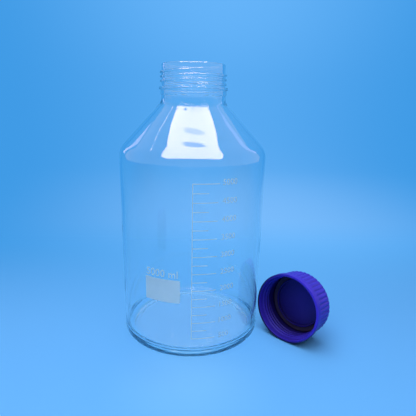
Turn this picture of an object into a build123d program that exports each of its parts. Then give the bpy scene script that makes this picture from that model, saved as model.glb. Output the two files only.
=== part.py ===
from build123d import *
import math
import os

# A five litre wide-neck laboratory bottle of clear borosilicate glass, standing upright,
# with its ribbed screw cap taken off and lying on its side next to it.
# Millimetres, +Z up. The origin is the centre of the ring that the bottle stands on,
# and the printed scale faces -Y.

# ---- glass body
body_diameter = 182.0
body_wall = 3.5
bottle_height = 341.0
shoulder_radius = 22.5           # curve between the straight wall and the cone
cone_half_angle = 43.0           # degrees between the cone and the bottle's axis
neck_root_radius = 10.0          # hollow curve between the cone and the neck
neck_root_drop = 43.2            # lip to where the cone and the neck would meet
heel_radius = 7.0
inner_heel_radius = 10.0
base_thickness = 5.0
foot_width = 4.0                 # flat ring that the bottle stands on
foot_rounding = 1.0
punt_rise = 3.0                  # how far the middle of the base stands off the bench
punt_ramp = 9.0                  # radial width of the slope between foot and punt
punt_rounding = 6.0

# ---- neck finish, sized from the mouth and measured down from the lip
mouth_diameter = 69.0
neck_wall = 4.5
lip_wall = 3.7                   # glass behind the thread
lip_rounding = 1.4
collar_step = 0.7                # how far the collar stands proud of the neck
collar_drop = 35.5               # lip to the collar's lower edge
collar_slope = 1.0
collar_rounding = 0.3
bead_step = 2.4                  # how far the transfer bead stands proud of the neck
bead_width = 4.2
bead_land = 2.1                  # cylindrical stretch at the top of the bead
bead_drop = 27.5                 # lip to the middle of the transfer bead
bead_rounding = 0.7
thread_height = 1.7
thread_pitch = 5.0
thread_turns = 3.0
thread_drop = 8.6                # lip to the middle of the thread's upper end
thread_root_width = 3.4
thread_crest_width = 1.3
thread_bearing = -90.0           # heading of both ends of a thread
thread_fade = 60.0               # degrees over which a thread rises out of its wall
thread_embed = 0.5               # how deep a thread's foot reaches into its wall

# ---- screw cap, measured along its own axis from the closed face
cap_height = 37.0
cap_band_width = 8.0             # smooth wide band at the open rim
cap_band_slope = 1.5             # height in which the band narrows to the grip
cap_band_rounding = 0.5
cap_skirt_wall = 3.2             # plastic outside the transfer bead
cap_grip_wall = 1.3              # plastic outside the thread, at the closed face
cap_draft = 2.0                  # degrees that the grip tapers towards the closed face
cap_top_thickness = 2.6
cap_top_rounding = 1.6
cap_rim_rounding = 0.7
rib_count = 45
rib_height = 0.9
rib_embed = 0.1                  # how deep the ribbed ring reaches into the shell
groove_width = 0.7               # flat left between two ribs
cap_thread_clearance = 0.3       # radial room over the bottle's thread crest
cap_crest_clearance = 0.7        # radial room between the cap's thread and the thread root
bead_clearance = 0.5             # radial room round the transfer bead
cap_skirt_depth = 7.6            # counterbore that passes over the transfer bead
cap_skirt_slope = 1.5
cap_skirt_rounding = 0.4
cap_thread_turns = 2.5
cap_thread_margin = 2.1          # counterbore to the middle of the cap thread's outer end
plug_clearance = 1.3             # radial room between the sealing plug and the mouth
plug_wall = 1.8
plug_depth = 4.2
plug_rounding = 0.5
plug_root_rounding = 0.25

# ---- sealing ring in the cap
seal_thickness = 1.8
seal_inner_clearance = 0.4       # radial room round the plug
seal_outer_clearance = 0.9       # radial room to the cap's wall

# ---- where the cap lies
cap_turn = 44.9                  # degrees that the open side is turned from -Y towards -X
cap_bearing = -11.1              # heading from the bottle's axis to the rim's nearest edge
cap_gap = 1.1                    # room between that edge and the glass

# ---- white enamel print on the outer wall, with widths measured round the wall
enamel_thickness = 0.15
field_width = 44.3
field_height = 28.5
field_bottom = 74.0
field_gap = 13.5                 # field to the scale's upright line
scale_bearing = 0.1              # degrees from -Y towards +X
scale_line_width = 0.8
full_mark_drop = 27.0            # top of the straight wall's corner to the highest mark
lowest_mark_height = 27.8
mark_count = 19                  # every second mark is long
short_tick = 17.8                # mark lengths, from the upright line
long_tick = 28.3
full_tick = 29.7

# ---- sizes that follow from those
body_radius = body_diameter / 2
inner_radius = body_radius - body_wall
foot_radius = body_radius - heel_radius - foot_width
punt_radius = foot_radius - punt_ramp
mouth_radius = mouth_diameter / 2
neck_radius = mouth_radius + neck_wall
collar_radius = neck_radius + collar_step
bead_radius = neck_radius + bead_step
thread_root_radius = mouth_radius + lip_wall
thread_crest_radius = thread_root_radius + thread_height
cone_spread = math.tan(math.radians(cone_half_angle))
# where the straight wall and the cone would meet
shoulder_height = bottle_height - neck_root_drop - (body_radius - neck_radius) / cone_spread
cap_wall_radius = thread_crest_radius + cap_thread_clearance
cap_crest_radius = thread_root_radius + cap_crest_clearance
cap_skirt_radius = bead_radius + bead_clearance
cap_band_radius = cap_skirt_radius + cap_skirt_wall
plug_radius = mouth_radius - plug_clearance
draft_slope = math.tan(math.radians(cap_draft))
degrees_per_length = math.degrees(1 / body_radius)
full_turn = 360


def revolved(points, radii):
    """Solid of revolution of a path that starts and ends on Z, with its corners rounded."""
    path = FilletPolyline(*points, radius=radii)
    axis_line = Line(points[-1], points[0])
    section = Plane.XZ * make_face(path.edges() + axis_line.edges())
    return revolve(section, axis=Axis.Z)


def cone_height(radius, wall):
    """Height at which the shoulder cone, a wall's thickness inside the glass, has a radius."""
    run = body_radius - wall / math.cos(math.radians(cone_half_angle)) - radius
    return shoulder_height + run / cone_spread


def helical_ridge(root_radius, crest_radius, turns, upper_end):
    """Right-hand thread ridge that rises out of its wall and sinks back at both ends."""
    sections_per_turn = 12
    least_share = 0.12
    count = round(turns * sections_per_turn)
    buried_radius = root_radius + math.copysign(thread_embed, root_radius - crest_radius)
    sections = []
    for step in range(count + 1):
        angle = full_turn * turns * step / count
        from_end = min(angle, full_turn * turns - angle)
        share = math.sin(math.radians(90 * min(1, from_end / thread_fade)))
        crest = root_radius + (crest_radius - root_radius) * max(least_share, share)
        heading = math.radians(thread_bearing + angle)
        plane = Plane(
            origin=(0, 0, upper_end - thread_pitch * (turns - angle / full_turn)),
            x_dir=(math.cos(heading), math.sin(heading), 0),
            z_dir=(math.sin(heading), -math.cos(heading), 0),
        )
        outline = Polyline(
            (buried_radius, -thread_root_width / 2),
            (crest, -thread_crest_width / 2),
            (crest, thread_crest_width / 2),
            (buried_radius, thread_root_width / 2),
            close=True,
        )
        sections.append(plane * make_face(outline))
    return loft(sections)


def make_bottle():
    """One blown piece: base, wall, cone shoulder, neck, collar, transfer bead, thread, lip."""
    collar_low = bottle_height - collar_drop
    bead_middle = bottle_height - bead_drop
    floor_height = base_thickness + punt_rise
    corners = [
        # outside, from the middle of the base up to the lip
        ((punt_radius, punt_rise), punt_rounding),
        ((foot_radius, 0), foot_rounding),
        ((body_radius, 0), heel_radius),
        ((body_radius, shoulder_height), shoulder_radius),
        ((neck_radius, cone_height(neck_radius, 0)), neck_root_radius),
        ((neck_radius, collar_low), collar_rounding),
        ((collar_radius, collar_low + collar_slope), collar_rounding),
        ((collar_radius, bead_middle - bead_width / 2), bead_rounding),
        ((bead_radius, bead_middle - bead_land / 2), bead_rounding),
        ((bead_radius, bead_middle + bead_land / 2), bead_rounding),
        ((thread_root_radius, bead_middle + bead_width / 2), bead_rounding),
        ((thread_root_radius, bottle_height), lip_rounding),
        # inside, from the lip down to the middle of the base
        ((mouth_radius, bottle_height), lip_rounding),
        ((mouth_radius, cone_height(mouth_radius, body_wall)), neck_root_radius + body_wall),
        ((inner_radius, cone_height(inner_radius, body_wall)), shoulder_radius - body_wall),
        ((inner_radius, base_thickness), inner_heel_radius),
        ((punt_radius, floor_height), punt_rounding),
    ]
    points = [(0, punt_rise)] + [point for point, _ in corners] + [(0, floor_height)]
    glass = revolved(points, [radius for _, radius in corners])
    thread = helical_ridge(
        thread_root_radius, thread_crest_radius, thread_turns, bottle_height - thread_drop
    )
    return glass + thread


def grip_radius_at(height):
    """Radius of the cap's grip between its ribs, at a height over the closed face."""
    return cap_wall_radius + cap_grip_wall + draft_slope * height


def round_point(radius, heading):
    return (radius * math.cos(math.radians(heading)), radius * math.sin(math.radians(heading)))


def grip_outline(radius):
    """Ring of shallow arcs, one for each rib, with a narrow flat between neighbours."""
    pitch = full_turn / rib_count
    half_rib = (pitch - math.degrees(groove_width / radius)) / 2
    outline = []
    for rib in range(rib_count):
        middle = pitch * (rib + 0.5)
        end = round_point(radius, middle + half_rib)
        outline.append(
            ThreePointArc(
                round_point(radius, middle - half_rib),
                round_point(radius + rib_height, middle),
                end,
            )
        )
        outline.append(Line(end, round_point(radius, middle + pitch - half_rib)))
    return make_face([line.edge() for line in outline])


def make_grip():
    """Ribbed ring of the cap, tapered by the draft and rounded at the closed face."""
    height = cap_height - cap_band_width
    low_radius = grip_radius_at(0)
    high_radius = grip_radius_at(height)
    ribbed = loft([grip_outline(low_radius), Pos(0, 0, height) * grip_outline(high_radius)])
    standing = (Align.CENTER, Align.CENTER, Align.MIN)
    limit = Cone(low_radius + rib_height, high_radius + rib_height, height, align=standing)
    limit = fillet(limit.edges().sort_by(Axis.Z)[0], cap_top_rounding)
    core = Cone(low_radius - 2 * rib_embed, high_radius - 2 * rib_embed, height, align=standing)
    return (ribbed & limit) - core


def make_cap():
    """Moulded cap in its own frame: closed face down on Z = 0, open side up."""
    band_height = cap_height - cap_band_width
    grip_height = band_height - cap_band_slope
    skirt_height = cap_height - cap_skirt_depth
    plug_height = cap_top_thickness + plug_depth
    corners = [
        ((grip_radius_at(0) - rib_embed, 0), cap_top_rounding),
        ((grip_radius_at(grip_height) - rib_embed, grip_height), cap_band_rounding),
        ((cap_band_radius, band_height), cap_band_rounding),
        ((cap_band_radius, cap_height), cap_rim_rounding),
        ((cap_skirt_radius, cap_height), cap_rim_rounding),
        ((cap_skirt_radius, skirt_height), cap_skirt_rounding),
        ((cap_wall_radius, skirt_height - cap_skirt_slope), cap_skirt_rounding),
        ((cap_wall_radius, cap_top_thickness), plug_rounding),
        ((plug_radius, cap_top_thickness), plug_root_rounding),
        ((plug_radius, plug_height), plug_rounding),
        ((plug_radius - plug_wall, plug_height), plug_rounding),
        ((plug_radius - plug_wall, cap_top_thickness), plug_rounding),
    ]
    points = [(0, 0)] + [point for point, _ in corners] + [(0, cap_top_thickness)]
    shell = revolved(points, [radius for _, radius in corners])
    thread_end = skirt_height - cap_skirt_slope - cap_thread_margin
    thread = helical_ridge(cap_wall_radius, cap_crest_radius, cap_thread_turns, thread_end)
    return shell + thread + make_grip()


def make_seal():
    """Flat ring that lies on the closed face's inside, between the plug and the wall."""
    outer = cap_wall_radius - seal_outer_clearance
    inner = plug_radius + seal_inner_clearance
    ring = Cylinder(outer, seal_thickness) - Cylinder(inner, seal_thickness)
    return Pos(0, 0, cap_top_thickness + seal_thickness / 2) * ring


def cap_tip():
    """Angle of the bench line under the band's narrow edge and two ribs at the closed face."""
    band_height = cap_height - cap_band_width
    band_step = cap_band_radius - grip_radius_at(band_height - cap_band_slope) + rib_embed
    half_bend = math.atan2(band_step, cap_band_slope) / 2
    rib_share = math.cos(math.pi / rib_count)
    rib_crest = (grip_radius_at(cap_top_rounding) + rib_height) * rib_share
    along = band_height + cap_band_rounding * math.tan(half_bend) - cap_top_rounding
    across = (cap_band_radius - cap_band_rounding) - (rib_crest - cap_top_rounding)
    rounding_step = (cap_band_rounding - cap_top_rounding) / math.hypot(along, across)
    return math.atan2(across, along) + math.asin(rounding_step)


def cap_place(cap):
    """Location of the lying cap: band and ribs on the bench, open side tipped up."""
    turn = math.radians(cap_turn)
    tip = cap_tip()
    opening = Vector(
        -math.sin(turn) * math.cos(tip), -math.cos(turn) * math.cos(tip), math.sin(tip)
    )
    down = Vector(-math.sin(turn) * math.sin(tip), -math.cos(turn) * math.sin(tip), -math.cos(tip))
    bearing = math.radians(cap_bearing)
    edge = Vector(math.cos(bearing), math.sin(bearing), 0) * (body_radius + cap_gap)
    rim_centre = edge + Vector(math.cos(turn), -math.sin(turn), 0) * cap_band_radius
    lying = Plane(origin=rim_centre - opening * cap_height, x_dir=down, z_dir=opening)
    rest_height = -(lying.location * cap).bounding_box().min.Z
    return Pos(0, 0, rest_height) * lying.location


def enamel_patch(left, right, low, high):
    """Thin curved patch of print on the wall between two bearings and two heights."""
    section = Plane.XZ * Pos(body_radius, low) * Rectangle(
        enamel_thickness, high - low, align=(Align.MIN, Align.MIN)
    )
    return Rot(0, 0, left - 90) * revolve(section, axis=Axis.Z, revolution_arc=right - left)


def make_field():
    """Plain field for writing on, to the left of the scale."""
    right = scale_bearing - field_gap * degrees_per_length
    left = right - field_width * degrees_per_length
    return enamel_patch(left, right, field_bottom, field_bottom + field_height)


def make_scale():
    """Upright line with a mark for each volume step, longer at every second one."""
    half_line = scale_line_width / 2
    line_left = scale_bearing - half_line * degrees_per_length
    line_right = scale_bearing + half_line * degrees_per_length
    full_mark_height = shoulder_height - full_mark_drop
    scale = enamel_patch(
        line_left, line_right, lowest_mark_height - half_line, full_mark_height + half_line
    )
    top_mark = mark_count - 1
    for mark in range(mark_count):
        height = lowest_mark_height + (full_mark_height - lowest_mark_height) * mark / top_mark
        length = long_tick if mark % 2 == 0 else short_tick
        if mark == top_mark:
            length = full_tick
        right = scale_bearing + length * degrees_per_length
        scale += enamel_patch(scale_bearing, right, height - half_line, height + half_line)
    return scale


cap = make_cap()
lying = cap_place(cap)
nodes = {
    "glass_bottle": make_bottle(),
    "screw_cap": lying * cap,
    "sealing_ring": lying * make_seal(),
    "writing_field": make_field(),
    "graduation_scale": make_scale(),
}

os.makedirs("parts", exist_ok=True)
for name, shape in nodes.items():
    export_step(shape, f"parts/{name}.step")
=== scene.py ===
import math

import bpy
import numpy as np
from mathutils import Matrix, Vector


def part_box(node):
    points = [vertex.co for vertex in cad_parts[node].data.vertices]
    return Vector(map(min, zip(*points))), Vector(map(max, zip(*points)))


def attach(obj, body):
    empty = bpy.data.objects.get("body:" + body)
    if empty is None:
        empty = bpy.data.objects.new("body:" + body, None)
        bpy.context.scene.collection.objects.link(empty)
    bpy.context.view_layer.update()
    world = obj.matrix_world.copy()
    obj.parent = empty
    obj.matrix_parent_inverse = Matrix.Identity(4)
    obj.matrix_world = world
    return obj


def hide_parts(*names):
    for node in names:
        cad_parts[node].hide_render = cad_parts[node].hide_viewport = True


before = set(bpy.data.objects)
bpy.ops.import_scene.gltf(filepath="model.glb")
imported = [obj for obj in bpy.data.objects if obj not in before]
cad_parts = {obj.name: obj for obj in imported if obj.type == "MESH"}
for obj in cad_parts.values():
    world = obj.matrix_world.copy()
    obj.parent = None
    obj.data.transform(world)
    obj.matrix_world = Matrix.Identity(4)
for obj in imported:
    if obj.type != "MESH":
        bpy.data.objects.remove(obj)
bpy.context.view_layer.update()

MM = 0.001
TURN = 2 * math.pi

# ---- sizes of the CAD model, in millimetres and degrees
BODY_RADIUS = 91.0
BODY_WALL = 3.5
BOTTLE_HEIGHT = 341.0
SHOULDER_RADIUS = 22.5
CONE_HALF_ANGLE = math.radians(43.0)
NECK_ROOT_RADIUS = 10.0
NECK_ROOT_DROP = 43.2
HEEL_RADIUS = 7.0
INNER_HEEL_RADIUS = 10.0
BASE_THICKNESS = 5.0
FOOT_WIDTH = 4.0
FOOT_ROUNDING = 1.0
PUNT_RISE = 3.0
PUNT_RAMP = 9.0
PUNT_ROUNDING = 6.0
MOUTH_RADIUS = 34.5
NECK_WALL = 4.5
LIP_WALL = 3.7
LIP_ROUNDING = 1.4
COLLAR_STEP = 0.7
COLLAR_DROP = 35.5
COLLAR_SLOPE = 1.0
COLLAR_ROUNDING = 0.3
BEAD_STEP = 2.4
BEAD_WIDTH = 4.2
BEAD_LAND = 2.1
BEAD_DROP = 27.5
BEAD_ROUNDING = 0.7
THREAD_HEIGHT = 1.7
THREAD_PITCH = 5.0
THREAD_TURNS = 3.0
THREAD_DROP = 8.6
THREAD_ROOT_WIDTH = 3.4
THREAD_CREST_WIDTH = 1.3
THREAD_BEARING = -90.0
THREAD_FADE = 60.0
CAP_HEIGHT = 37.0
CAP_BAND_WIDTH = 8.0
CAP_BAND_SLOPE = 1.5
CAP_BAND_ROUNDING = 0.5
CAP_SKIRT_WALL = 3.2
CAP_GRIP_WALL = 1.3
CAP_DRAFT = math.radians(2.0)
CAP_TOP_THICKNESS = 2.6
CAP_TOP_ROUNDING = 1.6
CAP_RIM_ROUNDING = 0.7
RIB_COUNT = 45
RIB_HEIGHT = 0.9
GROOVE_WIDTH = 0.7
CAP_THREAD_CLEARANCE = 0.3
CAP_CREST_CLEARANCE = 0.7
BEAD_CLEARANCE = 0.5
CAP_SKIRT_DEPTH = 7.6
CAP_SKIRT_SLOPE = 1.5
CAP_SKIRT_ROUNDING = 0.4
CAP_THREAD_TURNS = 2.5
CAP_THREAD_MARGIN = 2.1
PLUG_CLEARANCE = 1.3
PLUG_WALL = 1.8
PLUG_DEPTH = 4.2
PLUG_ROUNDING = 0.5
PLUG_ROOT_ROUNDING = 0.25
CAP_TURN = math.radians(44.9)
CAP_BEARING = math.radians(-11.1)
CAP_GAP = 1.1
ENAMEL_THICKNESS = 0.15
FIELD_WIDTH = 44.3
FIELD_HEIGHT = 28.5
FIELD_BOTTOM = 74.0
FIELD_GAP = 13.5
SCALE_BEARING = math.radians(0.1)
SCALE_LINE_WIDTH = 0.8
FULL_MARK_DROP = 27.0
LOWEST_MARK_HEIGHT = 27.8
MARK_COUNT = 19
LONG_MARK_VOLUME = 500
SHORT_TICK = 17.8
LONG_TICK = 28.3
FULL_TICK = 29.7

INNER_RADIUS = BODY_RADIUS - BODY_WALL
FOOT_RADIUS = BODY_RADIUS - HEEL_RADIUS - FOOT_WIDTH
PUNT_RADIUS = FOOT_RADIUS - PUNT_RAMP
NECK_RADIUS = MOUTH_RADIUS + NECK_WALL
COLLAR_RADIUS = NECK_RADIUS + COLLAR_STEP
BEAD_RADIUS = NECK_RADIUS + BEAD_STEP
THREAD_ROOT_RADIUS = MOUTH_RADIUS + LIP_WALL
THREAD_CREST_RADIUS = THREAD_ROOT_RADIUS + THREAD_HEIGHT
CONE_SPREAD = math.tan(CONE_HALF_ANGLE)
SHOULDER_HEIGHT = BOTTLE_HEIGHT - NECK_ROOT_DROP - (BODY_RADIUS - NECK_RADIUS) / CONE_SPREAD
CAP_WALL_RADIUS = THREAD_CREST_RADIUS + CAP_THREAD_CLEARANCE
CAP_CREST_RADIUS = THREAD_ROOT_RADIUS + CAP_CREST_CLEARANCE
CAP_SKIRT_RADIUS = BEAD_RADIUS + BEAD_CLEARANCE
CAP_BAND_RADIUS = CAP_SKIRT_RADIUS + CAP_SKIRT_WALL
PLUG_RADIUS = MOUTH_RADIUS - PLUG_CLEARANCE
DRAFT_SLOPE = math.tan(CAP_DRAFT)


# ---- mesh helpers
def rounded(points, radii, arc_step=9.0):
    """Path of (radius, height) points with an arc at each inner corner."""
    path = [points[0]]
    for i, radius in enumerate(radii, start=1):
        corner = np.array(points[i], float)
        back = np.array(points[i - 1], float) - corner
        ahead = np.array(points[i + 1], float) - corner
        back /= np.linalg.norm(back)
        ahead /= np.linalg.norm(ahead)
        half = math.acos(max(-1.0, min(1.0, float(back @ ahead)))) / 2
        reach = radius / math.tan(half)
        middle = (back + ahead) / np.linalg.norm(back + ahead)
        centre = corner + middle * radius / math.sin(half)
        start = corner + back * reach - centre
        end = corner + ahead * reach - centre
        a0 = math.atan2(start[1], start[0])
        sweep = (math.atan2(end[1], end[0]) - a0 + math.pi) % TURN - math.pi
        count = max(3, math.ceil(abs(math.degrees(sweep)) / arc_step))
        for k in range(count + 1):
            a = a0 + sweep * k / count
            path.append((centre[0] + radius * math.cos(a), centre[1] + radius * math.sin(a)))
    path.append(points[-1])
    return path


def refined(path, longest, low=None, high=None, fine=None):
    """The same path with long pieces cut up, more finely between two heights."""
    out = [path[0]]
    for a, b in zip(path, path[1:]):
        length = math.dist(a, b)
        limit = longest
        if fine and min(a[1], b[1]) < high and max(a[1], b[1]) > low and abs(b[1] - a[1]) > length / 2:
            limit = fine
        count = max(1, math.ceil(length / limit))
        for k in range(1, count + 1):
            out.append((a[0] + (b[0] - a[0]) * k / count, a[1] + (b[1] - a[1]) * k / count))
    return out


def smoothstep(x):
    x = np.clip(x, 0, 1)
    return x * x * (3 - 2 * x)


def thread_ridge(heading, height, turns, upper_end):
    """Share of the full thread height at each place of a wall, 0 off the thread."""
    total = 360 * turns
    start = (np.degrees(heading) - THREAD_BEARING) % 360
    share = np.zeros(np.broadcast(heading, height).shape)
    for lap in range(math.ceil(turns) + 1):
        angle = start + 360 * lap
        centre = upper_end - THREAD_PITCH * (turns - angle / 360)
        off = np.abs(height - centre)
        flank = (THREAD_ROOT_WIDTH - THREAD_CREST_WIDTH) / 2
        shape = smoothstep((THREAD_ROOT_WIDTH / 2 - off) / flank)
        from_end = np.minimum(angle, total - angle)
        fade = np.where(from_end > 0, np.sin(np.radians(90 * np.clip(from_end / THREAD_FADE, 0, 1))), 0)
        share = np.maximum(share, shape * fade)
    return share


def lathe(name, path, heading, shape):
    """Closed surface of revolution; shape(radius, heading, height, row) may change the radii."""
    rows = np.array(path[1:-1])
    segments = len(heading)
    radius = np.repeat(rows[:, :1], segments, axis=1)
    height = np.repeat(rows[:, 1:], segments, axis=1)
    radius = shape(radius, heading[None, :], height, np.arange(len(rows))[:, None])
    verts = np.stack(
        [radius * np.cos(heading)[None, :], radius * np.sin(heading)[None, :], height], axis=-1
    ).reshape(-1, 3)
    verts = np.vstack([verts, [[0, 0, path[0][1]], [0, 0, path[-1][1]]]]) * MM
    first, last = len(verts) - 2, len(verts) - 1
    count = len(rows)
    faces = []
    for i in range(count - 1):
        for j in range(segments):
            k = (j + 1) % segments
            low, high = i * segments, (i + 1) * segments
            faces.append((low + j, low + k, high + k, high + j))
    for j in range(segments):
        k = (j + 1) % segments
        faces.append((first, k, j))
        faces.append((last, (count - 1) * segments + j, (count - 1) * segments + k))
    return mesh_object(name, verts, faces)


def mesh_object(name, verts, faces, smooth=True):
    mesh = bpy.data.meshes.new(name)
    mesh.from_pydata([tuple(v) for v in verts], [], faces)
    mesh.validate()
    mesh.update()
    for polygon in mesh.polygons:
        polygon.use_smooth = smooth
    obj = bpy.data.objects.new(name, mesh)
    bpy.context.scene.collection.objects.link(obj)
    return obj


def on_wall(bearing, height, lift):
    """Point on the bottle's wall; bearings run from -Y towards +X, in radians."""
    radius = BODY_RADIUS + lift
    return (radius * math.sin(bearing), -radius * math.cos(bearing), height)


# ---- node helpers
def srgb(red, green, blue):
    """Linear colour of a display colour given in 0 to 255."""
    return tuple(
        c / 12.92 if c <= 0.04045 else ((c + 0.055) / 1.055) ** 2.4
        for c in (red / 255, green / 255, blue / 255)
    ) + (1.0,)


def new_material(name):
    material = bpy.data.materials.new(name)
    material.use_nodes = True
    tree = material.node_tree
    return material, tree, tree.nodes["Principled BSDF"], tree.nodes["Material Output"]


def glowing_material(name):
    """Material without a surface shader, its node tree and the socket to link a shader to."""
    material, tree, shader, output = new_material(name)
    tree.nodes.remove(shader)
    return material, tree, output.inputs["Surface"]


def node(tree, kind, **values):
    made = tree.nodes.new(kind)
    for key, value in values.items():
        if hasattr(made, key):
            setattr(made, key, value)
        else:
            made.inputs[key.replace("_", " ")].default_value = value
    return made


def math_of(tree, operation, a, b=0.0):
    """Result of a math node on two sockets or numbers."""
    made = node(tree, "ShaderNodeMath", operation=operation)
    for socket, value in zip(made.inputs, (a, b)):
        if isinstance(value, (int, float)):
            socket.default_value = value
        else:
            tree.links.new(value, socket)
    return made.outputs[0]


def mapped(tree, source, low, high, kind="LINEAR", start=0.0, end=1.0):
    """Socket that runs from start to end while the source runs from low to high."""
    made = node(tree, "ShaderNodeMapRange", interpolation_type=kind)
    made.inputs["From Min"].default_value = low
    made.inputs["From Max"].default_value = high
    made.inputs["To Min"].default_value = start
    made.inputs["To Max"].default_value = end
    tree.links.new(source, made.inputs["Value"])
    return made.outputs["Result"]


def color_ramp(tree, source, stops, interpolation="LINEAR"):
    """Colour that follows the source through stops of (position, colour)."""
    made = node(tree, "ShaderNodeValToRGB")
    ramp = made.color_ramp
    ramp.interpolation = interpolation
    ramp.elements.remove(ramp.elements[-1])
    ramp.elements[0].position, ramp.elements[0].color = stops[0]
    for position, color in stops[1:]:
        ramp.elements.new(position).color = color
    tree.links.new(source, made.inputs["Fac"])
    return made.outputs["Color"]


def mixed_color(tree, share, first, second):
    """Colour socket between a linked colour and a fixed one."""
    made = node(tree, "ShaderNodeMix", data_type="RGBA")
    tree.links.new(share, made.inputs["Factor"])
    tree.links.new(first, made.inputs["A"])
    made.inputs["B"].default_value = second
    return made.outputs["Result"]


def mixed_shader(tree, share, first, second):
    made = node(tree, "ShaderNodeMixShader")
    for socket, source in zip(made.inputs, (share, first, second)):
        tree.links.new(source, socket)
    return made.outputs[0]


def object_place(tree):
    """Place on the object as a vector, and its X, Y and Z."""
    place = node(tree, "ShaderNodeTexCoord").outputs["Object"]
    parts = node(tree, "ShaderNodeSeparateXYZ")
    tree.links.new(place, parts.inputs[0])
    return place, *parts.outputs


def noise(tree, place, scale, detail):
    made = node(tree, "ShaderNodeTexNoise", Scale=scale, Detail=detail)
    tree.links.new(place, made.inputs["Vector"])
    return made.outputs["Fac"]


def add_bump(tree, shader, height, strength, distance):
    bump = node(tree, "ShaderNodeBump", Strength=strength, Distance=distance)
    tree.links.new(height, bump.inputs["Height"])
    tree.links.new(bump.outputs["Normal"], shader.inputs["Normal"])


# ---- glass
GLASS_IOR = 1.473
GLASS_COLOR = (0.985, 0.995, 0.998, 1)
GLASS_BODY_TINT, GLASS_DENSITY = (0.50, 0.78, 0.82, 1), 6.0
GLASS_SHADOW = (0.93, 0.96, 0.98, 1)     # light that each surface lets through into the shadow
GLASS_WAVES, GLASS_WAVE_DETAIL = 26.0, 1.5
GLASS_BUMP, GLASS_BUMP_DEPTH = 0.25, 0.0006
# painted shade on the mirror image: millimetres from the neck root's corner, with the share of mirror image
# left there
ROOT_MIRROR_SHADE = ((-5.3, 1.0), (-4.2, 0.0), (4.2, 0.0), (6.2, 1.0))
MIRROR_SPAN = 0.4                        # metres of height that the mirror ramp covers
HAZE_COLOR, BASE_HAZE = (0.80, 0.93, 1.0, 1), 0.10
HAZE_EDGE = (FOOT_RADIUS + 3.0, FOOT_RADIUS - FOOT_WIDTH)
HAZE_TOP = (16.0, 12.0)
HAZE_BOTTOM = (4.0, 4.6)


def mirror_tint(tree, height):
    """White, but black in the hollow at the neck root: painted shade, so that it mirrors next to nothing
    there.
    """
    root = BOTTLE_HEIGHT - NECK_ROOT_DROP
    stops = [((root + off) * MM / MIRROR_SPAN, (share, share, share, 1)) for off, share in ROOT_MIRROR_SHADE]
    return color_ramp(tree, math_of(tree, "DIVIDE", height, MIRROR_SPAN), stops)


def base_haze(tree, place, height):
    """Share of milky haze, which is only on the inner floor of the bottle."""
    flat = node(tree, "ShaderNodeVectorMath", operation="MULTIPLY")
    tree.links.new(place, flat.inputs[0])
    flat.inputs[1].default_value = (1, 1, 0)
    across = node(tree, "ShaderNodeVectorMath", operation="LENGTH")
    tree.links.new(flat.outputs[0], across.inputs[0])
    inward = mapped(tree, across.outputs["Value"], HAZE_EDGE[0] * MM, HAZE_EDGE[1] * MM)
    low = mapped(tree, height, HAZE_TOP[0] * MM, HAZE_TOP[1] * MM, end=BASE_HAZE)
    inside = mapped(tree, height, HAZE_BOTTOM[0] * MM, HAZE_BOTTOM[1] * MM)
    return math_of(tree, "MULTIPLY", inward, math_of(tree, "MULTIPLY", inside, low))


def glass_material():
    material, tree, shader, output = new_material("clear_glass")
    shader.inputs["Base Color"].default_value = GLASS_COLOR
    shader.inputs["Roughness"].default_value = 0.0
    shader.inputs["IOR"].default_value = GLASS_IOR
    shader.inputs["Transmission Weight"].default_value = 1.0
    place, _, _, height = object_place(tree)
    add_bump(tree, shader, noise(tree, place, GLASS_WAVES, GLASS_WAVE_DETAIL), GLASS_BUMP, GLASS_BUMP_DEPTH)
    # specular tint with painted shade that takes the mirror image out at the neck root
    tree.links.new(mirror_tint(tree, height), shader.inputs["Specular Tint"])
    milk = node(tree, "ShaderNodeBsdfDiffuse", Color=HAZE_COLOR)
    hazy = mixed_shader(tree, base_haze(tree, place, height), shader.outputs[0], milk.outputs[0])
    clear = node(tree, "ShaderNodeBsdfTransparent", Color=GLASS_SHADOW)
    rays = node(tree, "ShaderNodeLightPath")
    seen = mixed_shader(tree, rays.outputs["Is Shadow Ray"], hazy, clear.outputs[0])
    tree.links.new(seen, output.inputs["Surface"])
    tint = node(tree, "ShaderNodeVolumeAbsorption", Color=GLASS_BODY_TINT, Density=GLASS_DENSITY)
    tree.links.new(tint.outputs[0], output.inputs["Volume"])
    return material


# ---- plastic, rubber and enamel
CLOUD_SCALE, CLOUD_DETAIL = 38.0, 3.0
CLOUD_LOW, CLOUD_HIGH = 0.3, 0.7
GRAIN_DETAIL, GRAIN_BUMP = 2.0, 0.3
# painted shade in hollows: metres that a hollow is felt over, with the open shares at which the shade is
# darkest and at which the colour is plain
HOLLOW_SHADES = ((0.06, 0.34, 0.92), (0.0015, 0.40, 0.95))
HOLLOW_SHADE_SAMPLES = 8


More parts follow.
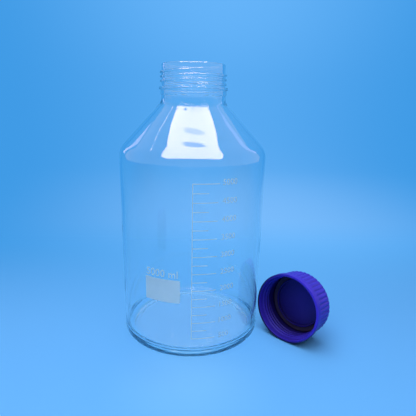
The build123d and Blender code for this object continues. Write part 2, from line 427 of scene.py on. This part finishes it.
def plastic_material(name, color, dark, roughness, grain, depth, gloss, hollow_shade=None):
    """Speckled plastic; hollow_shade is the share of its colour left by painted shade deep inside a hollow.
    """
    material, tree, shader, _ = new_material(name)
    place = object_place(tree)[0]
    stops = ((CLOUD_LOW, (*dark, 1)), (CLOUD_HIGH, (*color, 1)))
    surface = color_ramp(tree, noise(tree, place, CLOUD_SCALE, CLOUD_DETAIL), stops)
    # painted shade: ambient occlusion darkens the colour in hollows, such as the cap's inside and its rib
    # grooves
    for reach, darkest, plain in HOLLOW_SHADES if hollow_shade else ():
        hollow = node(tree, "ShaderNodeAmbientOcclusion", samples=HOLLOW_SHADE_SAMPLES, Distance=reach)
        darker = node(tree, "ShaderNodeHueSaturation")
        left = mapped(tree, hollow.outputs["AO"], darkest, plain, start=hollow_shade)
        tree.links.new(left, darker.inputs["Value"])
        tree.links.new(surface, darker.inputs["Color"])
        surface = darker.outputs["Color"]
    tree.links.new(surface, shader.inputs["Base Color"])
    shader.inputs["Roughness"].default_value = roughness
    shader.inputs["Specular IOR Level"].default_value = gloss
    add_bump(tree, shader, noise(tree, place, grain, GRAIN_DETAIL), GRAIN_BUMP, depth)
    return material


# ---- bottle
BOTTLE_SEGMENTS = 288
BOTTLE_EDGE, NECK_EDGE = 6.0, 0.3        # longest mesh edge along the outline, and on the thread
ON_SURFACE = 0.02                        # how near a point is to a wall that it belongs to
AT_TOP = 0.001                           # how near a height is to the rim that it belongs to
BLOWN_LOW, BLOWN_HIGH = 20.0, 300.0
BLOWN_FADE_LOW, BLOWN_FADE_HIGH = 30.0, 20.0
# depth, lobes round the wall, turn for each millimetre of height, and phase
BLOWN_WAVES = ((0.10, 3, 1 / 34, 0.0), (0.07, 7, -1 / 13, 1.3))


def cone_height(radius, wall):
    run = BODY_RADIUS - wall / math.cos(CONE_HALF_ANGLE) - radius
    return SHOULDER_HEIGHT + run / CONE_SPREAD


def make_bottle():
    collar_low = BOTTLE_HEIGHT - COLLAR_DROP
    bead_middle = BOTTLE_HEIGHT - BEAD_DROP
    floor_height = BASE_THICKNESS + PUNT_RISE
    outside = [
        ((PUNT_RADIUS, PUNT_RISE), PUNT_ROUNDING),
        ((FOOT_RADIUS, 0), FOOT_ROUNDING),
        ((BODY_RADIUS, 0), HEEL_RADIUS),
        ((BODY_RADIUS, SHOULDER_HEIGHT), SHOULDER_RADIUS),
        ((NECK_RADIUS, cone_height(NECK_RADIUS, 0)), NECK_ROOT_RADIUS),
        ((NECK_RADIUS, collar_low), COLLAR_ROUNDING),
        ((COLLAR_RADIUS, collar_low + COLLAR_SLOPE), COLLAR_ROUNDING),
        ((COLLAR_RADIUS, bead_middle - BEAD_WIDTH / 2), BEAD_ROUNDING),
        ((BEAD_RADIUS, bead_middle - BEAD_LAND / 2), BEAD_ROUNDING),
        ((BEAD_RADIUS, bead_middle + BEAD_LAND / 2), BEAD_ROUNDING),
        ((THREAD_ROOT_RADIUS, bead_middle + BEAD_WIDTH / 2), BEAD_ROUNDING),
        ((THREAD_ROOT_RADIUS, BOTTLE_HEIGHT), LIP_ROUNDING),
    ]
    inside = [
        ((MOUTH_RADIUS, BOTTLE_HEIGHT), LIP_ROUNDING),
        ((MOUTH_RADIUS, cone_height(MOUTH_RADIUS, BODY_WALL)), NECK_ROOT_RADIUS + BODY_WALL),
        ((INNER_RADIUS, cone_height(INNER_RADIUS, BODY_WALL)), SHOULDER_RADIUS - BODY_WALL),
        ((INNER_RADIUS, BASE_THICKNESS), INNER_HEEL_RADIUS),
        ((PUNT_RADIUS, floor_height), PUNT_ROUNDING),
    ]
    corners = outside + inside
    points = [(0, PUNT_RISE)] + [p for p, _ in corners] + [(0, floor_height)]
    path = rounded(points, [r for _, r in corners])
    upper_end = BOTTLE_HEIGHT - THREAD_DROP
    low = upper_end - THREAD_PITCH * THREAD_TURNS - THREAD_ROOT_WIDTH
    high = upper_end + THREAD_ROOT_WIDTH
    path = refined(path, BOTTLE_EDGE, low, high, NECK_EDGE)
    heights = np.array([p[1] for p in path])
    top_row = int(np.argmax(heights > BOTTLE_HEIGHT - AT_TOP)) - 1

    def shape(radius, heading, height, row):
        outer = row < top_row
        ridge = thread_ridge(heading, height, THREAD_TURNS, upper_end)
        on_root = outer & (np.abs(radius - THREAD_ROOT_RADIUS) < ON_SURFACE)
        radius = radius + np.where(on_root, THREAD_HEIGHT * ridge, 0)
        # pressed and blown glass: the inner wall wanders a little
        blown = ~outer & (height > BLOWN_LOW) & (height < BLOWN_HIGH)
        waves = sum(d * np.sin(lobes * heading + turn * height + at) for d, lobes, turn, at in BLOWN_WAVES)
        waves = waves * smoothstep((height - BLOWN_LOW) / BLOWN_FADE_LOW)
        waves = waves * smoothstep((BLOWN_HIGH - height) / BLOWN_FADE_HIGH)
        return radius + np.where(blown, waves, 0)

    obj = lathe("bottle_glass", path, np.arange(BOTTLE_SEGMENTS) * TURN / BOTTLE_SEGMENTS, shape)
    obj.data.materials.append(glass_material())
    return obj


bottle = make_bottle()
bottle.visible_diffuse = False
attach(bottle, "root")
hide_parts("glass_bottle")


# ---- cap
CAP_ARC_STEP = 15.0
CAP_EDGE, CAP_THREAD_EDGE = 8.0, 0.4
RIB_POINTS = np.array([-1.0, -0.85, -0.65, -0.35, 0.0, 0.35, 0.65, 0.85, 1.0])   # shares of half a rib


def grip_radius_at(height):
    return CAP_WALL_RADIUS + CAP_GRIP_WALL + DRAFT_SLOPE * height


def cap_tip():
    """Angle that the taper tips the lying cap, from the bench to its axis."""
    band_height = CAP_HEIGHT - CAP_BAND_WIDTH
    band_step = CAP_BAND_RADIUS - grip_radius_at(band_height - CAP_BAND_SLOPE)
    half_bend = math.atan2(band_step, CAP_BAND_SLOPE) / 2
    rib_crest = (grip_radius_at(CAP_TOP_ROUNDING) + RIB_HEIGHT) * math.cos(math.pi / RIB_COUNT)
    along = band_height + CAP_BAND_ROUNDING * math.tan(half_bend) - CAP_TOP_ROUNDING
    across = (CAP_BAND_RADIUS - CAP_BAND_ROUNDING) - (rib_crest - CAP_TOP_ROUNDING)
    rounding_step = (CAP_BAND_ROUNDING - CAP_TOP_ROUNDING) / math.hypot(along, across)
    return math.atan2(across, along) + math.asin(rounding_step)


def cap_matrix():
    """Where the lying cap's own frame is, apart from its height over the bench."""
    tip = cap_tip()
    away = Vector((-math.sin(CAP_TURN), -math.cos(CAP_TURN), 0))
    opening = away * math.cos(tip) + Vector((0, 0, math.sin(tip)))
    down = away * math.sin(tip) - Vector((0, 0, math.cos(tip)))
    side = opening.cross(down)
    edge = Vector((math.cos(CAP_BEARING), math.sin(CAP_BEARING), 0)) * (BODY_RADIUS + CAP_GAP)
    rim_centre = edge + Vector((math.cos(CAP_TURN), -math.sin(CAP_TURN), 0)) * CAP_BAND_RADIUS
    origin = (rim_centre - opening * CAP_HEIGHT) * MM
    return Matrix((
        (down.x, side.x, opening.x, origin.x),
        (down.y, side.y, opening.y, origin.y),
        (down.z, side.z, opening.z, origin.z),
        (0, 0, 0, 1),
    ))


def cap_plastic():
    # the cap's inside and its rib grooves get painted shade
    return plastic_material(
        "cap_plastic", (0.056, 0.034, 0.620), (0.050, 0.030, 0.580),
        roughness=0.38, grain=900.0, depth=0.00004, gloss=0.16, hollow_shade=0.06,
    )


def seal_rubber():
    return plastic_material(
        "seal_rubber", (0.040, 0.030, 0.090), (0.032, 0.024, 0.075),
        roughness=0.6, grain=1200.0, depth=0.00003, gloss=0.3,
    )


def make_cap():
    band_height = CAP_HEIGHT - CAP_BAND_WIDTH
    grip_height = band_height - CAP_BAND_SLOPE
    skirt_height = CAP_HEIGHT - CAP_SKIRT_DEPTH
    plug_height = CAP_TOP_THICKNESS + PLUG_DEPTH
    corners = [
        ((grip_radius_at(0), 0), CAP_TOP_ROUNDING),
        ((grip_radius_at(grip_height), grip_height), CAP_BAND_ROUNDING),
        ((CAP_BAND_RADIUS, band_height), CAP_BAND_ROUNDING),
        ((CAP_BAND_RADIUS, CAP_HEIGHT), CAP_RIM_ROUNDING),
        ((CAP_SKIRT_RADIUS, CAP_HEIGHT), CAP_RIM_ROUNDING),
        ((CAP_SKIRT_RADIUS, skirt_height), CAP_SKIRT_ROUNDING),
        ((CAP_WALL_RADIUS, skirt_height - CAP_SKIRT_SLOPE), CAP_SKIRT_ROUNDING),
        ((CAP_WALL_RADIUS, CAP_TOP_THICKNESS), PLUG_ROUNDING),
        ((PLUG_RADIUS, CAP_TOP_THICKNESS), PLUG_ROOT_ROUNDING),
        ((PLUG_RADIUS, plug_height), PLUG_ROUNDING),
        ((PLUG_RADIUS - PLUG_WALL, plug_height), PLUG_ROUNDING),
        ((PLUG_RADIUS - PLUG_WALL, CAP_TOP_THICKNESS), PLUG_ROUNDING),
    ]
    points = [(0, 0)] + [p for p, _ in corners] + [(0, CAP_TOP_THICKNESS)]
    path = rounded(points, [r for _, r in corners], CAP_ARC_STEP)
    rim = int(np.argmax(np.array([p[1] for p in path]) > CAP_HEIGHT - AT_TOP))
    path = path[:rim] + refined(path[rim:], CAP_EDGE, CAP_TOP_THICKNESS, skirt_height, CAP_THREAD_EDGE)
    rim_row = rim - 1
    upper_end = skirt_height - CAP_SKIRT_SLOPE - CAP_THREAD_MARGIN
    pitch = TURN / RIB_COUNT
    half_rib = (pitch - GROOVE_WIDTH / grip_radius_at(0)) / 2
    headings = np.concatenate([pitch * (rib + 0.5) + half_rib * RIB_POINTS for rib in range(RIB_COUNT)])

    def shape(radius, heading, height, row):
        # every rib is an arc over its chord, with a narrow flat between neighbours
        base = grip_radius_at(height)
        rise = base + RIB_HEIGHT - base * math.cos(half_rib)
        arc = ((base * math.sin(half_rib)) ** 2 + rise ** 2) / (2 * rise)
        centre = base + RIB_HEIGHT - arc
        off = (heading % pitch) - pitch / 2
        ribbed = centre * np.cos(off) + np.sqrt(np.maximum(0, arc ** 2 - (centre * np.sin(off)) ** 2))
        on_grip = (row < rim_row) & (height < band_height)
        grip = np.maximum(radius, np.minimum(radius + RIB_HEIGHT, ribbed))
        ridge = thread_ridge(heading, height, CAP_THREAD_TURNS, upper_end)
        on_wall_inside = (row > rim_row) & (np.abs(radius - CAP_WALL_RADIUS) < ON_SURFACE)
        inside = radius - np.where(on_wall_inside, (CAP_WALL_RADIUS - CAP_CREST_RADIUS) * ridge, 0)
        return np.where(on_grip, grip, inside)

    obj = lathe("cap_moulding", path, headings, shape)
    obj.data.transform(cap_matrix())
    lowest = min(v.co.z for v in obj.data.vertices)
    obj.data.transform(Matrix.Translation((0, 0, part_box("screw_cap")[0].z - lowest)))
    obj.data.materials.append(cap_plastic())
    return obj


cap = make_cap()
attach(cap, "root")
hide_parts("screw_cap")

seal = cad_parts["sealing_ring"]
seal.data.materials.clear()
seal.data.materials.append(seal_rubber())


# ---- enamel print
PRINT_LIFT = 0.01                        # keeps the print off the wall's own surface
PATCH_STEP = 1.5                         # width of the flat strips that follow the round wall
CORNER_STEPS, CORNER_STEP = 7, 15        # points on a rounded corner, and degrees between them
FIELD_CORNER = 1.2
NUMBER_SIZE, NUMBER_START, NUMBER_RISE = 9.3, 33.5, 1.6
VOLUME_SIZE, VOLUME_START, VOLUME_HEIGHT, VOLUME_BOLD = 12.6, -56.0, 109.6, 0.05
TEXT_RESOLUTION = 4


def enamel_material():
    return plastic_material(
        "white_enamel", (0.70, 0.90, 0.96), (0.62, 0.83, 0.90),
        roughness=0.5, grain=1500.0, depth=0.00002, gloss=0.25,
    )


ENAMEL = enamel_material()


def enamel_patch(name, left, right, low, high, corner=0.0):
    """Thin curved sheet of print with rounded corners; left and right are bearings."""
    outline = []
    width = (right - left) * BODY_RADIUS
    if corner:
        for cx, cz, start in (
            (width - corner, corner, -90), (width - corner, high - low - corner, 0),
            (corner, high - low - corner, 90), (corner, corner, 180),
        ):
            for k in range(CORNER_STEPS):
                a = math.radians(start + CORNER_STEP * k)
                outline.append((cx + corner * math.cos(a), cz + corner * math.sin(a)))
    else:
        outline = [(0, 0), (width, 0), (width, high - low), (0, high - low)]
    count = max(1, math.ceil(width / PATCH_STEP))
    cuts = [width * k / count for k in range(count + 1)]
    cuts = sorted(set(cuts) | set(round(x, 6) for x, _ in outline))
    spans = []
    for x in cuts:
        zs = []
        for (x0, z0), (x1, z1) in zip(outline, outline[1:] + outline[:1]):
            if min(x0, x1) - 1e-6 <= x <= max(x0, x1) + 1e-6:
                if abs(x1 - x0) < 1e-9:
                    zs += [z0, z1]
                else:
                    zs.append(z0 + (z1 - z0) * (x - x0) / (x1 - x0))
        spans.append((x, min(zs), max(zs)))
    verts = []
    for x, z0, z1 in spans:
        bearing = left + x / BODY_RADIUS
        for lift, z in (
            (PRINT_LIFT, z0), (PRINT_LIFT, z1), (ENAMEL_THICKNESS, z1), (ENAMEL_THICKNESS, z0),
        ):
            verts.append(on_wall(bearing, low + z, lift))
    faces = []
    for i in range(len(spans) - 1):
        a, b = 4 * i, 4 * (i + 1)
        for k in range(4):
            m = (k + 1) % 4
            faces.append((a + k, b + k, b + m, a + m))
    faces.append((0, 1, 2, 3))
    end = 4 * (len(spans) - 1)
    faces.append((end + 3, end + 2, end + 1, end))
    return mesh_object(name, np.array(verts) * MM, faces, smooth=False)


def joined(name, parts):
    """One object made of several meshes."""
    verts, faces = [], []
    for part in parts:
        base = len(verts)
        verts += [tuple(v.co) for v in part.data.vertices]
        faces += [tuple(base + i for i in p.vertices) for p in part.data.polygons]
        bpy.data.objects.remove(part)
    return mesh_object(name, verts, faces, smooth=False)


def wall_text(body, left, middle, size, bold=0.0):
    """Lettering on the wall, from a distance round it and centred on a height."""
    curve = bpy.data.curves.new("text", "FONT")
    curve.body = body
    curve.size = size
    curve.extrude = ENAMEL_THICKNESS / 2 - PRINT_LIFT
    curve.offset = bold
    curve.resolution_u = TEXT_RESOLUTION
    carrier = bpy.data.objects.new("text", curve)
    bpy.context.scene.collection.objects.link(carrier)
    graph = bpy.context.evaluated_depsgraph_get()
    mesh = bpy.data.meshes.new_from_object(carrier.evaluated_get(graph))
    bpy.data.objects.remove(carrier)
    points = [v.co.copy() for v in mesh.vertices]
    low = min(p.y for p in points)
    high = max(p.y for p in points)
    start = min(p.x for p in points)
    verts = []
    for p in points:
        bearing = SCALE_BEARING + (left + p.x - start) / BODY_RADIUS
        height = middle + p.y - (low + high) / 2
        verts.append(on_wall(bearing, height, PRINT_LIFT + p.z + curve.extrude))
    faces = [tuple(f.vertices) for f in mesh.polygons]
    return mesh_object("text", np.array(verts) * MM, faces, smooth=False)


field_right = SCALE_BEARING - FIELD_GAP / BODY_RADIUS
field = enamel_patch(
    "field_print", field_right - FIELD_WIDTH / BODY_RADIUS, field_right,
    FIELD_BOTTOM, FIELD_BOTTOM + FIELD_HEIGHT, FIELD_CORNER,
)
field.data.materials.append(ENAMEL)
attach(field, "root")
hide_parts("writing_field")

full_mark_height = SHOULDER_HEIGHT - FULL_MARK_DROP
half_line = SCALE_LINE_WIDTH / 2
marks = [enamel_patch(
    "line", SCALE_BEARING - half_line / BODY_RADIUS, SCALE_BEARING + half_line / BODY_RADIUS,
    LOWEST_MARK_HEIGHT - half_line, full_mark_height + half_line,
)]
top_mark = MARK_COUNT - 1
numbers = []
for mark in range(MARK_COUNT):
    height = LOWEST_MARK_HEIGHT + (full_mark_height - LOWEST_MARK_HEIGHT) * mark / top_mark
    length = LONG_TICK if mark % 2 == 0 else SHORT_TICK
    if mark == top_mark:
        length = FULL_TICK
    marks.append(enamel_patch(
        "mark", SCALE_BEARING + half_line / BODY_RADIUS, SCALE_BEARING + length / BODY_RADIUS,
        height - half_line, height + half_line,
    ))
    if mark % 2 == 0:
        volume = LONG_MARK_VOLUME * (1 + mark // 2)
        numbers.append(wall_text(str(volume), NUMBER_START, height + NUMBER_RISE, NUMBER_SIZE))
scale = joined("scale_print", marks)
scale.data.materials.append(ENAMEL)
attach(scale, "root")
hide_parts("graduation_scale")

numbers.append(wall_text("5000 ml", VOLUME_START, VOLUME_HEIGHT, VOLUME_SIZE, VOLUME_BOLD))
lettering = joined("number_print", numbers)
lettering.data.materials.append(ENAMEL)
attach(lettering, "root")


# ---- floor and backdrop, in metres
FLOOR_DROP = 0.0002                      # keeps the sheet clear of the glass that stands on it
FLOOR_DARK = (0.125, 0.435, 0.935, 1)
FLOOR_LIGHT = (0.140, 0.455, 0.960, 1)
FLOOR_CLOUD, FLOOR_CLOUD_DETAIL = 1.6, 1.0
FLOOR_CLOUD_LOW, FLOOR_CLOUD_HIGH = 0.25, 0.75
FLOOR_ROUGHNESS, FLOOR_GLOSS = 0.9, 0.1
# painted pool of light before the bottle, where its glass gathers light
LIGHT_POOL_CENTRE, LIGHT_POOL_REACH, LIGHT_POOL_COLOR = (0.0, -0.13, 0.0), 0.11, (0.18, 0.51, 0.98, 1)
SWEEP_LENGTH = 3.2                       # how far the glow's colours run, measured as y + z
# painted light: colours that the distant sheet glows with, lighter in a band above the bench
BENCH_GLOW, BAND_GLOW = srgb(98, 180, 252), srgb(131, 192, 254)
WALL_GLOW, TOP_GLOW = srgb(87, 169, 241), srgb(103, 181, 250)
GLOW_STOPS = (
    (0.0, BENCH_GLOW), (0.3, BENCH_GLOW), (0.55, BAND_GLOW),
    (1.35, WALL_GLOW), (2.4, WALL_GLOW), (2.8, TOP_GLOW),
)
# painted shade: the glow gets darker to the sides
GLOW_SIDE_SHADE = srgb(64, 155, 230)
GLOW_CENTRE, GLOW_REACH, GLOW_SPREAD = 0.17, 0.62, 0.3
GLOW_START, GLOW_FULL = -0.06, 0.36
FRONT_GLOW_START, FRONT_GLOW_FULL = -0.45, -0.95
SWEEP_FRONT, SWEEP_HALF_WIDTH, SWEEP_BACK, SWEEP_BEND, SWEEP_TOP = -3.0, 3.0, 1.3, 0.7, 2.4
SWEEP_CUTS = (-1.5, -0.5, 0.0, 0.6)      # where the flat part is divided
BEND_STEPS = 16


def paper_color(tree, place):
    """The sheet's own blue, a little cloudy, with a painted pool of light before the bottle."""
    cloud = noise(tree, place, FLOOR_CLOUD, FLOOR_CLOUD_DETAIL)
    paper = color_ramp(tree, cloud, ((FLOOR_CLOUD_LOW, FLOOR_DARK), (FLOOR_CLOUD_HIGH, FLOOR_LIGHT)))
    # painted pool of light: the colour is lighter near a place before the bottle
    to_light_pool = node(tree, "ShaderNodeVectorMath", operation="DISTANCE")
    tree.links.new(place, to_light_pool.inputs[0])
    to_light_pool.inputs[1].default_value = LIGHT_POOL_CENTRE
    near = mapped(tree, to_light_pool.outputs["Value"], LIGHT_POOL_REACH, 0.0, "SMOOTHSTEP")
    return mixed_color(tree, near, paper, LIGHT_POOL_COLOR)


def glow_color(tree, x, along):
    """Painted light of the distant sheet, from the bench up, with painted shade darker to the sides."""
    stops = [(at / SWEEP_LENGTH, color) for at, color in GLOW_STOPS]
    glow = color_ramp(tree, mapped(tree, along, 0.0, SWEEP_LENGTH), stops, "B_SPLINE")
    aside = math_of(tree, "ABSOLUTE", math_of(tree, "SUBTRACT", x, GLOW_CENTRE))
    reach = math_of(tree, "ADD", math_of(tree, "MULTIPLY", along, GLOW_SPREAD), GLOW_REACH)
    edge = mapped(tree, math_of(tree, "DIVIDE", aside, reach), 0.0, 1.0, "SMOOTHSTEP")
    return mixed_color(tree, edge, glow, GLOW_SIDE_SHADE)


def glow_share(tree, along):
    """Share of glow, which only camera, mirror and glass rays see, and none near the bottle."""
    rays = node(tree, "ShaderNodeLightPath").outputs
    seen = math_of(tree, "MAXIMUM", rays["Is Camera Ray"], rays["Is Transmission Ray"])
    seen = math_of(tree, "MAXIMUM", seen, rays["Is Glossy Ray"])
    behind = mapped(tree, along, GLOW_START, GLOW_FULL, "SMOOTHSTEP")
    before = mapped(tree, along, FRONT_GLOW_START, FRONT_GLOW_FULL, "SMOOTHSTEP")
    return math_of(tree, "MULTIPLY", seen, math_of(tree, "MAXIMUM", behind, before))


def backdrop_material():
    """Blue sheet: lit by the lamps round the object, and with painted light glowing in the distance,
    lighter in a band and darker to the sides.
    """
    material, tree, shader, output = new_material("blue_sweep")
    place, x, y, z = object_place(tree)
    tree.links.new(paper_color(tree, place), shader.inputs["Base Color"])
    shader.inputs["Roughness"].default_value = FLOOR_ROUGHNESS
    shader.inputs["Specular IOR Level"].default_value = FLOOR_GLOSS
    along = math_of(tree, "ADD", y, z)
    shine = node(tree, "ShaderNodeEmission")
    tree.links.new(glow_color(tree, x, along), shine.inputs["Color"])
    look = mixed_shader(tree, glow_share(tree, along), shader.outputs[0], shine.outputs[0])
    tree.links.new(look, output.inputs["Surface"])
    return material


def make_sweep():
    """Flat sheet that curves up behind the object."""
    path = [(y, -FLOOR_DROP) for y in (SWEEP_FRONT, *SWEEP_CUTS)]
    for k in range(BEND_STEPS + 1):
        a = math.radians(90 * k / BEND_STEPS)
        path.append((SWEEP_BACK + SWEEP_BEND * math.sin(a), SWEEP_BEND - SWEEP_BEND * math.cos(a)))
    path.append((SWEEP_BACK + SWEEP_BEND, SWEEP_TOP))
    verts = [(x, y, z) for y, z in path for x in (-SWEEP_HALF_WIDTH, SWEEP_HALF_WIDTH)]
    faces = [(2 * i, 2 * i + 1, 2 * i + 3, 2 * i + 2) for i in range(len(path) - 1)]
    return mesh_object("floor_sweep", verts, faces)


sweep = make_sweep()
sweep.data.materials.append(backdrop_material())


# ---- lamps, in metres
TOP_LAMP_PLACE = (-0.12, 0.14, 1.30)
TOP_LAMP_WIDTH, TOP_LAMP_DEPTH, TOP_LAMP_POWER = 1.05, 0.95, 9.9
SOFTBOX_HEIGHT, SOFTBOX_LIGHT, SOFTBOX_REFLECTION = 1.0, 2.35, 15.0
SOFTBOX_REFLECTION_COLOR = (1.0, 0.76, 0.70, 1)
SOFTBOX_OUTLINE = (
    (-0.37, 0.04), (-0.40, -0.01), (-0.38, -0.09), (-0.48, -0.18), (-0.83, -0.62), (-1.0, -1.1),
    (1.0, -1.1), (0.82, -0.62), (0.45, -0.18), (0.38, -0.09), (0.39, -0.03), (0.35, 0.03),
    (0.15, -0.085), (-0.02, -0.110), (-0.18, -0.078),
)
STRIP_OUTLINE = (
    (-0.482, 0.178), (-0.574, 0.166), (-0.710, 0.031), (-0.702, 0.024), (-0.569, 0.157), (-0.479, 0.169),
)
# dim ovals in the softbox: centre, half width, half depth and how much light they take away
LENSES = ((0.015, -0.210, 0.17, 0.009, 0.75), (0.015, -0.167, 0.165, 0.010, 0.45))
LENS_BEND = 0.85
LENS_INSIDE, LENS_OUTSIDE = 0.6, 1.4
PANEL_COLOR, PANEL_REFLECTION = (0.85, 0.72, 1.0, 1), 2.6
# bearing in degrees, distance, width, lower edge and upper edge
PANELS = {"left_panel": (140, 1.3, 0.16, 0.38, 1.1), "right_panel": (28.5, 0.9, 0.10, 0.55, 1.25)}


def make_top_lamp():
    """Broad lamp over the object, aimed at its foot, that no mirror image shows."""
    data = bpy.data.lights.new("top_lamp", "AREA")
    data.shape = "RECTANGLE"
    data.size = TOP_LAMP_WIDTH
    data.size_y = TOP_LAMP_DEPTH
    data.energy = TOP_LAMP_POWER
    lamp = bpy.data.objects.new("top_lamp", data)
    lamp.location = TOP_LAMP_PLACE
    lamp.rotation_euler = (-Vector(TOP_LAMP_PLACE)).to_track_quat("-Z", "Y").to_euler()
    lamp.visible_glossy = False
    lamp.visible_transmission = False
    bpy.context.scene.collection.objects.link(lamp)


def lens_share(tree, place_x, place_y, x, y, half_width, half_depth, dimming):
    """1, but less inside a bent oval."""
    across = math_of(tree, "DIVIDE", math_of(tree, "SUBTRACT", place_x, x), half_width)
    across_square = math_of(tree, "MULTIPLY", across, across)
    bend = math_of(tree, "MULTIPLY", across_square, LENS_BEND * half_width ** 2)
    bent = math_of(tree, "SUBTRACT", place_y, bend)
    along = math_of(tree, "DIVIDE", math_of(tree, "SUBTRACT", bent, y), half_depth)
    square = math_of(tree, "ADD", across_square, math_of(tree, "MULTIPLY", along, along))
    return mapped(tree, square, LENS_INSIDE, LENS_OUTSIDE, start=1.0 - dimming)


def softbox_material():
    """Even white light, which sharp reflections in glass see brighter than the bench does."""
    material, tree, surface = glowing_material("softbox")
    rays = node(tree, "ShaderNodeLightPath").outputs
    mirrored = math_of(tree, "MULTIPLY", rays["Is Singular Ray"], rays["Is Reflection Ray"])
    _, place_x, place_y, _ = object_place(tree)
    strength = SOFTBOX_REFLECTION
    for lens in LENSES:
        strength = math_of(tree, "MULTIPLY", lens_share(tree, place_x, place_y, *lens), strength)
    even = node(tree, "ShaderNodeEmission", Strength=SOFTBOX_LIGHT)
    bright = node(tree, "ShaderNodeEmission", Color=SOFTBOX_REFLECTION_COLOR)
    tree.links.new(strength, bright.inputs["Strength"])
    tree.links.new(mixed_shader(tree, mirrored, even.outputs[0], bright.outputs[0]), surface)
    return material


def make_softbox():
    """Sheet of light over the front of the bottle, wider towards the camera, and a strip beside it."""
    corners = [(x, y, SOFTBOX_HEIGHT) for x, y in SOFTBOX_OUTLINE + STRIP_OUTLINE]
    sheet = tuple(range(len(SOFTBOX_OUTLINE)))
    strip = tuple(range(len(SOFTBOX_OUTLINE), len(corners)))
    softbox = mesh_object("softbox", corners, [sheet, strip])
    softbox.data.materials.append(softbox_material())
    softbox.visible_camera = False
    softbox.visible_shadow = False


def make_side_panel(name, bearing, distance, width, low, high):
    """Upright lilac panel beside the bottle, seen only as a mirror image in glossy surfaces."""
    bearing = math.radians(bearing)
    middle = Vector((math.cos(bearing), math.sin(bearing), 0)) * distance
    aside = Vector((-math.sin(bearing), math.cos(bearing), 0)) * width / 2
    corners = [(*(middle + side * aside).xy, z) for side, z in ((-1, low), (1, low), (1, high), (-1, high))]
    panel = mesh_object(name, corners, [(0, 1, 2, 3)])
    material, tree, surface = glowing_material(name)
    shine = node(tree, "ShaderNodeEmission", Color=PANEL_COLOR, Strength=PANEL_REFLECTION)
    tree.links.new(shine.outputs[0], surface)
    panel.data.materials.append(material)
    panel.visible_camera = False
    panel.visible_diffuse = False
    panel.visible_transmission = False
    panel.visible_shadow = False


make_top_lamp()
make_softbox()
for panel_name, panel_place in PANELS.items():
    make_side_panel(panel_name, *panel_place)


# ---- world
AIR_COLOR, AIR_LIGHT = (0.80, 0.86, 0.95, 1), 0.06
ROOM_COLOR, ROOM_REFLECTION = (0.90, 0.84, 0.90, 1), 1.1
DISTANCE_COLOR, DISTANCE_BRIGHTNESS = FLOOR_DARK, 0.95


def make_world():
    """Faint air light; mirror images see a pale room, and the camera and glass see blue."""
    world = bpy.data.worlds.new("studio")
    world.use_nodes = True
    bpy.context.scene.world = world
    tree = world.node_tree
    air = tree.nodes["Background"]
    air.inputs["Color"].default_value = AIR_COLOR
    air.inputs["Strength"].default_value = AIR_LIGHT
    rays = node(tree, "ShaderNodeLightPath").outputs
    seen = math_of(tree, "MAXIMUM", rays["Is Camera Ray"], rays["Is Transmission Ray"])
    blue = node(tree, "ShaderNodeBackground", Color=DISTANCE_COLOR, Strength=DISTANCE_BRIGHTNESS)
    room = node(tree, "ShaderNodeBackground", Color=ROOM_COLOR, Strength=ROOM_REFLECTION)
    around = mixed_shader(tree, rays["Is Glossy Ray"], air.outputs[0], room.outputs[0])
    look = mixed_shader(tree, seen, around, blue.outputs[0])
    tree.links.new(look, tree.nodes["World Output"].inputs["Surface"])


make_world()


# ---- camera
PITCH, YAW, ROLL = math.radians(16.96), math.radians(2.37), math.radians(1.26)
CAMERA_DISTANCE, CAMERA_HEIGHT = 0.50808, 0.29739
LENS_LENGTH, SENSOR_WIDTH, SHIFT_UP, CLIP_START = 34.61, 36.0, 0.0409, 0.01


def make_camera():
    forward = Vector((
        math.sin(YAW) * math.cos(PITCH), math.cos(YAW) * math.cos(PITCH), -math.sin(PITCH),
    ))
    level = Vector((math.cos(YAW), -math.sin(YAW), 0))
    upright = level.cross(forward)
    right = level * math.cos(ROLL) + upright * math.sin(ROLL)
    up = upright * math.cos(ROLL) - level * math.sin(ROLL)
    data = bpy.data.cameras.new("camera")
    data.sensor_width = SENSOR_WIDTH
    data.lens = LENS_LENGTH
    data.shift_y = SHIFT_UP
    data.clip_start = CLIP_START
    camera = bpy.data.objects.new("camera", data)
    camera.matrix_world = Matrix((
        (right.x, up.x, -forward.x, 0.0),
        (right.y, up.y, -forward.y, -CAMERA_DISTANCE),
        (right.z, up.z, -forward.z, CAMERA_HEIGHT),
        (0, 0, 0, 1),
    ))
    bpy.context.scene.collection.objects.link(camera)
    bpy.context.scene.camera = camera


make_camera()
scene = bpy.context.scene
scene.view_settings.view_transform = "Standard"
# glass guides light along its wall, so its rays need many bounces
scene.cycles.max_bounces = 96
scene.cycles.transmission_bounces = 96
scene.cycles.glossy_bounces = 96
scene.cycles.transparent_max_bounces = 32
